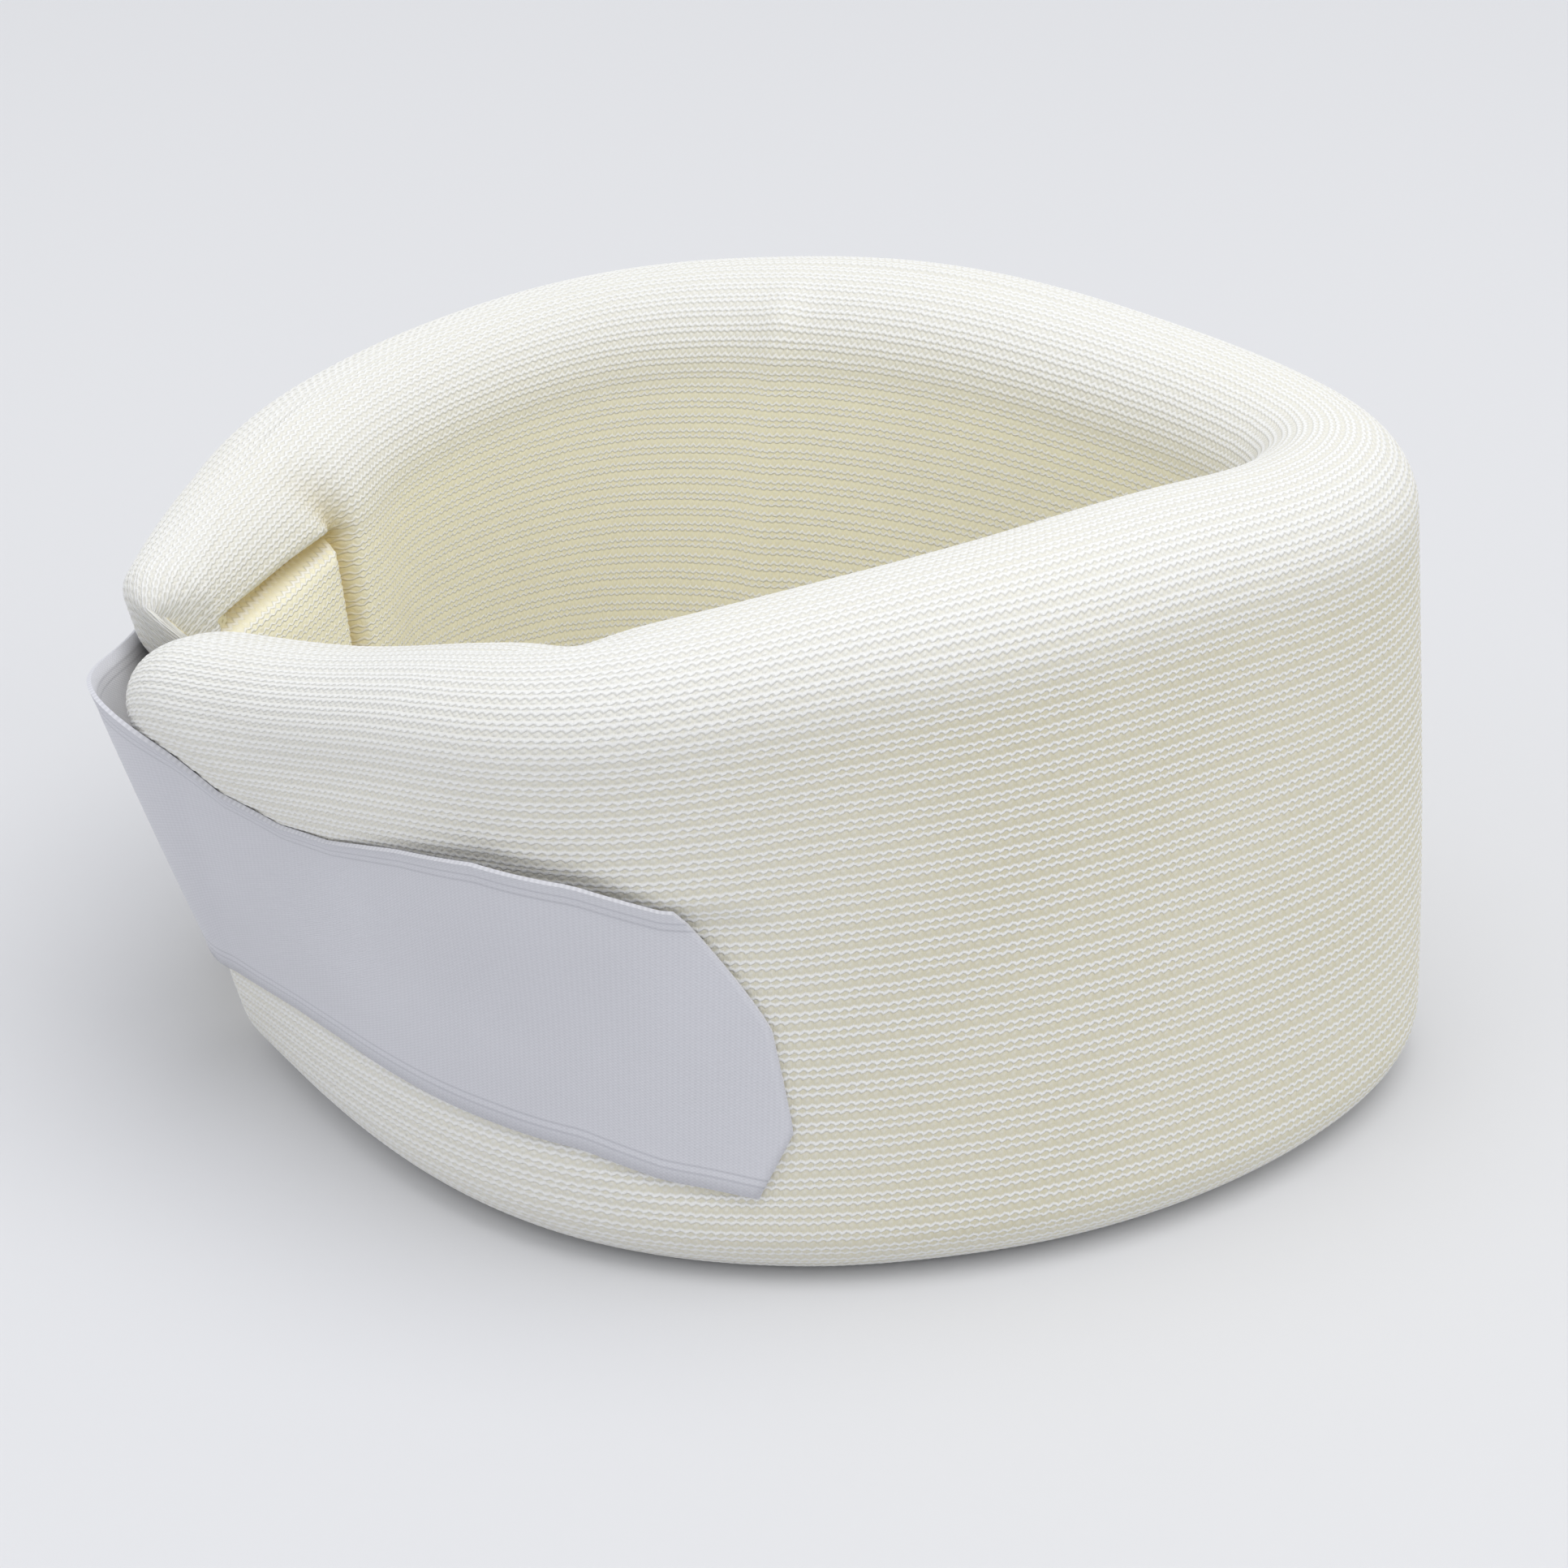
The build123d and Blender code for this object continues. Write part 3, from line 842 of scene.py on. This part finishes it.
def bump(w, shader, height, strength, distance):
    made = w.node("ShaderNodeBump")
    made.inputs["Strength"].default_value = strength
    made.inputs["Distance"].default_value = distance * MM
    w.link(height, made.inputs["Height"])
    w.link(made.outputs["Normal"], shader.inputs["Normal"])


def attribute(w, name):
    return w.node("ShaderNodeAttribute", attribute_name=name).outputs["Fac"]


def place_group(w, tree, **values):
    made = w.node("ShaderNodeGroup")
    made.node_tree = tree
    for label, value in values.items():
        w.link(value, made.inputs[label])
    return made.outputs


def knit_material(rib):
    material, w, shader = new_material("ribbed_cotton_knit")
    cloth = w.node("ShaderNodeUVMap", uv_map="cloth").outputs["UV"]
    where = w.node("ShaderNodeTexCoord").outputs["Object"]
    spread, fold, inside = (attribute(w, name) for name in ("spread", "fold", "inside"))
    knit = place_group(w, rib, Cloth=cloth, Spread=spread)
    # On the inner face the open gap gets a lighter, warmer colour: painted glow of bounced and
    # transmitted light.
    open_gap = w.mix(inside, (0.68, 0.635, 0.465, 1), (0.97, 0.92, 0.68, 1))
    gap = w.mix(spread, (0.84, 0.83, 0.785, 1), open_gap)
    patch = w.remap(w.noise(where, 28.0, 3.0), 0.35, 0.7)
    gap = w.mix(w.math("MULTIPLY", patch, 0.2), gap, (0.84, 0.80, 0.66, 1))
    # On the inner face the yarn too is painted lighter and warmer, the same painted glow.
    yarn = w.mix(inside, (0.89, 0.885, 0.865, 1), (0.97, 0.955, 0.90, 1))
    yarn = w.mix(w.math("MULTIPLY", patch, 0.3), yarn, (0.87, 0.86, 0.825, 1))
    cloth_colour = w.mix(knit["Yarn"], gap, yarn)
    # Ochre along the crease: partly foam showing through the spread yarn, partly painted shade in
    # the deep groove.
    deep = w.math("MULTIPLY", w.math("POWER", fold, 1.3), 0.9)
    crease_ochre_and_shade = w.mix(deep, cloth_colour, (0.76, 0.61, 0.25, 1))
    w.link(crease_ochre_and_shade, shader.inputs["Base Color"])
    shine = w.remap(knit["Yarn"], 0.0, 1.0, 0.95, 0.8, smooth=False)
    w.link(shine, shader.inputs["Roughness"])
    shader.inputs["Sheen Weight"].default_value = 0.15
    shader.inputs["Sheen Roughness"].default_value = 0.5
    shader.inputs["Specular IOR Level"].default_value = 0.15
    bump(w, shader, knit["Height"], 0.6, 0.3)
    return material


def tape_material(weave):
    material, w, shader = new_material("woven_nylon_tape")
    cloth = w.node("ShaderNodeUVMap", uv_map="cloth").outputs["UV"]
    where = w.node("ShaderNodeTexCoord").outputs["Object"]
    pattern = place_group(w, weave, Cloth=cloth, Pitch=0.7)
    axes = w.node("ShaderNodeSeparateXYZ")
    w.link(cloth, axes.inputs[0])
    edge = w.math("MINIMUM", axes.outputs[1], w.math("SUBTRACT", tape_width, axes.outputs[1]))
    first, second = (
        w.remap(w.math("ABSOLUTE", w.math("SUBTRACT", edge, line)), 0.0, 0.28, 1.0, 0.0)
        for line in (1.6, 2.6)
    )
    selvedge = w.math("MAXIMUM", first, second)
    base = w.mix(pattern["Weave"], (0.57, 0.57, 0.61, 1), (0.69, 0.69, 0.735, 1))
    cloud = w.remap(w.noise(where, 45.0, 2.0), 0.3, 0.7)
    base = w.mix(w.math("MULTIPLY", cloud, 0.18), base, (0.72, 0.72, 0.77, 1))
    base = w.mix(w.math("MULTIPLY", selvedge, 0.5), base, (0.42, 0.42, 0.46, 1))
    w.link(base, shader.inputs["Base Color"])
    shine = w.remap(pattern["Weave"], 0.0, 1.0, 0.75, 0.55, smooth=False)
    w.link(shine, shader.inputs["Roughness"])
    shader.inputs["Sheen Weight"].default_value = 0.2
    shader.inputs["Specular IOR Level"].default_value = 0.3
    height = w.math("MULTIPLY_ADD", selvedge, -0.5, pattern["Height"])
    bump(w, shader, height, 0.35, 0.1)
    return material


def foam_material():
    material, w, shader = new_material("open_cell_foam")
    where = w.node("ShaderNodeTexCoord").outputs["Object"]
    cells = w.node("ShaderNodeTexVoronoi")
    cells.inputs["Scale"].default_value = 1400.0
    w.link(where, cells.inputs["Vector"])
    # The pits of the pores are painted darker: painted shade in the foam's hollows.
    pore = w.remap(cells.outputs["Distance"], 0.05, 0.5)
    w.link(w.mix(pore, (0.62, 0.55, 0.32, 1), (0.83, 0.77, 0.55, 1)), shader.inputs["Base Color"])
    shader.inputs["Roughness"].default_value = 0.9
    shader.inputs["Specular IOR Level"].default_value = 0.2
    bump(w, shader, pore, 0.7, 0.3)
    return material


def thread_material(name, colour, roughness, strand_scale):
    material, w, shader = new_material(name)
    where = w.node("ShaderNodeTexCoord").outputs["Object"]
    strand = w.remap(w.noise(where, strand_scale, 3.0), 0.3, 0.7)
    dark = tuple(c * 0.82 for c in colour[:3]) + (1,)
    w.link(w.mix(strand, dark, colour), shader.inputs["Base Color"])
    shader.inputs["Roughness"].default_value = roughness
    bump(w, shader, strand, 0.4, 0.05)
    return material


knit = knit_material(rib_knit_group())
tape_cloth = tape_material(weave_group())
foam = foam_material()
thread = thread_material("white_sewing_thread", (0.86, 0.86, 0.84, 1), 0.7, 2600.0)
nylon = thread_material("moulded_nylon_hooks", (0.72, 0.72, 0.76, 1), 0.4, 900.0)

# --- cover and foam: near end, bend and far end -----------
near_end = (slab_start - end_nose, near_border)
bend = (near_border, far_border)
far_end = (far_border, slab_length + end_nose)
cover_near = cover_piece("knit_cover_near", *near_end, knit)
cover_bend = cover_piece("knit_cover_bend", *bend, knit)
cover_far = cover_piece("knit_cover_far", *far_end, knit)
foam_near = foam_piece("foam_slab_near", *near_end, foam)
foam_bend = foam_piece("foam_slab_bend", *bend, foam)
foam_far = foam_piece("foam_slab_far", *far_end, foam)
hook_tape = tape_piece(tape_cloth)

# --- hooks on the tape's inner face -----------------------
rods = bent_piece_tree("bent_rods", thread)
hook_rods = bent_piece_tree("tape_hooks", nylon)


def hook_field():
    """Places of the hooks: rows along the gripping part of the tape's inner face, with
    every other row half a step on, and the hooks turned about by pairs of rows."""
    levels = np.linspace(0.07, 0.93, 23)
    middle, side, run = tape_grid(levels)
    start = run[:, len(levels) // 2].max() - tape_reach + grip_begins
    heading = np.gradient(middle, axis=0)
    places, alongs, outs = [], [], []
    for j in range(len(levels)):
        first = start + (hook_pitch / 2 if j % 2 else 0.0)
        steps = np.arange(first, run[-1, j] - 1.2, hook_pitch)
        spot, out, along = (
            np.stack([np.interp(steps, run[:, j], line[:, j, c]) for c in range(3)], 1)
            for line in (middle, side, heading)
        )
        along = along * (1 if j % 4 < 2 else -1)
        places.append(spot - out * tape_thickness / 2)
        alongs.append(along / np.linalg.norm(along, axis=1)[:, None])
        outs.append(-out)
    return np.concatenate(places), np.concatenate(alongs), np.concatenate(outs)


hook_places, hook_along, hook_out = hook_field()
hook_sizes = {
    "Start": (0, 0, -0.1),
    "Middle": (0.1, 0, 1.5 * hook_length),
    "End": (0.55, 0, 0.45 * hook_length),
    "Radius": 0.09 * MM,
}
tape_hooks = scatter("tape_hooks", hook_rods, hook_sizes, hook_places, hook_along, hook_out)


# --- box stitch -------------------------------------------
def box_stitch():
    """Places of the stitches on the sewn part: four sides of a box and its diagonals."""
    levels = np.linspace(0, 1, 201)
    middle, side, run = tape_grid(levels)
    low, high = stitch_inset / tape_width, 1 - stitch_inset / tape_width
    first, last = stitch_inset, tape_sewn - stitch_inset
    spots = []
    for s in np.arange(first, last, stitch_pitch):
        spots += [(s, low, "along"), (s, high, "along")]
    for share in np.linspace(0.06, 0.94, 12):
        s, rise = first + (last - first) * share, (high - low) * share
        spots += [(s, low + rise, "rising"), (s, high - rise, "falling")]
    for level in np.arange(low + 0.06, high, stitch_pitch / tape_width):
        spots += [(first, level, "up"), (last - 1.0, level, "up")]
    slope = (high - low) * tape_width / (last - first)
    places, alongs, outs = [], [], []
    for s, level, way in spots:
        j = int(round(level * (len(levels) - 1)))
        i = int(np.clip(np.searchsorted(run[:, j], s), 1, len(run) - 1))
        along = middle[i, j] - middle[i - 1, j]
        t = (s - run[i - 1, j]) / (run[i, j] - run[i - 1, j])
        up = middle[i, -1] - middle[i, 0]
        along, up = along / np.linalg.norm(along), up / np.linalg.norm(up)
        heading = {
            "along": along,
            "up": up,
            "rising": along + up * slope,
            "falling": along - up * slope,
        }[way]
        spot = middle[i - 1, j] + (middle[i, j] - middle[i - 1, j]) * t
        places.append(spot + side[i, j] * tape_thickness / 2)
        alongs.append(heading / np.linalg.norm(heading))
        outs.append(side[i, j])
    return np.array(places), np.array(alongs), np.array(outs)


stitch_sizes = {
    "Start": (-1.15, 0, -0.2),
    "Middle": (0, 0, 0.75),
    "End": (1.15, 0, -0.2),
    "Radius": 0.24 * MM,
}
box_stitching = scatter("box_stitching", rods, stitch_sizes, *box_stitch())


# --- closing seams of the knit tube -----------------------
def closing_seam(at_near_end):
    """Overlock loops down the middle of a rounded end."""
    walk = slab_start - end_nose if at_near_end else slab_length + end_nose
    foot, crown, out = wall(np.array([walk]))
    foot, crown, out = foot[0], crown[0], out[0]
    away = np.array([-out[1], out[0], 0]) * (-1 if at_near_end else 1)
    rise, height = crown - foot, crown[2]
    up = rise / np.linalg.norm(rise)
    levels = np.arange(end_inset + 1, height - end_inset, seam_pitch)
    places, alongs = [], []
    for n, level in enumerate(levels):
        along = out + up * (0.35 if n % 2 else -0.35)
        places.append(foot + rise * level / height)
        alongs.append(along / np.linalg.norm(along))
    return np.array(places), np.array(alongs), np.tile(away, (len(places), 1))


seam_sizes = {
    "Start": (-1.5, 0, -0.5),
    "Middle": (0, 0, 1.1),
    "End": (1.5, 0, -0.5),
    "Radius": 0.26 * MM,
}
near_seam = scatter("near_closing_seam", rods, seam_sizes, *closing_seam(True))
far_seam = scatter("far_closing_seam", rods, seam_sizes, *closing_seam(False))

# --- what each piece rides on and stands for --------------
for piece, body, node, slot in (
    (cover_near, "near_half", "cover_near", "knit_cover"),
    (cover_far, "far_half", "cover_far", "knit_cover"),
    (foam_near, "near_half", "foam_near", "foam"),
    (foam_far, "far_half", "foam_far", "foam"),
    (near_seam, "near_half", "near_end_seam", "thread"),
    (far_seam, "far_half", "far_end_seam", "thread"),
    (box_stitching, "far_half", "strap_stitching", "thread"),
    (tape_hooks, "strap_flap", "strap_hooks", "tape_hooks"),
):
    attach(piece, body)
    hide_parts(node)

# The bend pieces lie between these two places, one on each side of the split; their transforms are
# baked and they ride on no body.
for piece, slot in ((cover_bend, "knit_cover"), (foam_bend, "foam")):
    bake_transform(piece)
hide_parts("cover_near", "cover_far")
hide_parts("foam_near", "foam_far")

tape_middle, _, tape_run = tape_grid(np.array([0.0, 0.5, 1.0]))
tape_middle, tape_run = tape_middle[:, 1], tape_run[:, 1]
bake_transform(hook_tape)
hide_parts("strap_anchor", "strap_free")

# --- floor, light and camera ------------------------------
floor_mesh = bpy.data.meshes.new("floor")
floor_mesh.from_pydata([(-4, -4, 0), (4, -4, 0), (4, 4, 0), (-4, 4, 0)], [], [(0, 1, 2, 3)])
floor = put_in_scene("floor", floor_mesh)
floor_material, _, floor_shader = new_material("pale_table")
floor_shader.inputs["Base Color"].default_value = (0.70, 0.70, 0.715, 1)
floor_shader.inputs["Roughness"].default_value = 0.7
floor_mesh.materials.append(floor_material)

world = bpy.data.worlds.new("studio")
bpy.context.scene.world = world
world.use_nodes = True
sky = world.node_tree.nodes["Background"]
sky.inputs["Color"].default_value = (0.95, 0.97, 1.0, 1)
sky.inputs["Strength"].default_value = 0.72


def soft_light(name, place, size, power):
    """Square light that looks at the middle of the ring."""
    light = bpy.data.lights.new(name, "AREA")
    light.size = size
    light.energy = power
    holder = put_in_scene(name, light)
    holder.location = place
    direction = Vector((0, 0, 0.04)) - Vector(place)
    holder.rotation_euler = direction.to_track_quat("-Z", "Y").to_euler()


soft_light("overhead_softbox", (0.15, -0.05, 1.3), 1.2, 8.5)
soft_light("right_softbox", (1.0, -0.5, 0.7), 0.9, 1.4)
soft_light("left_softbox", (-1.0, -0.3, 0.7), 0.9, 1.0)

camera_lens = bpy.data.cameras.new("camera")
camera = put_in_scene("camera", camera_lens)
camera_view = radians(18.2)
tilt = radians(28.0)
camera_distance = 0.650
camera_aim = Vector((0.0030, -0.0047, 0.035))
camera_lens.sensor_width = 36.0
camera_lens.lens = camera_lens.sensor_width / 2 / tan(camera_view / 2)
back = Vector((0, -np.cos(tilt), np.sin(tilt)))
camera.location = camera_aim + back * camera_distance
camera.rotation_euler = (pi / 2 - tilt, 0, 0)
bpy.context.scene.camera = camera
bpy.context.scene.view_settings.view_transform = "Standard"

# --- update the view layer --------------------------------
bpy.context.view_layer.update()
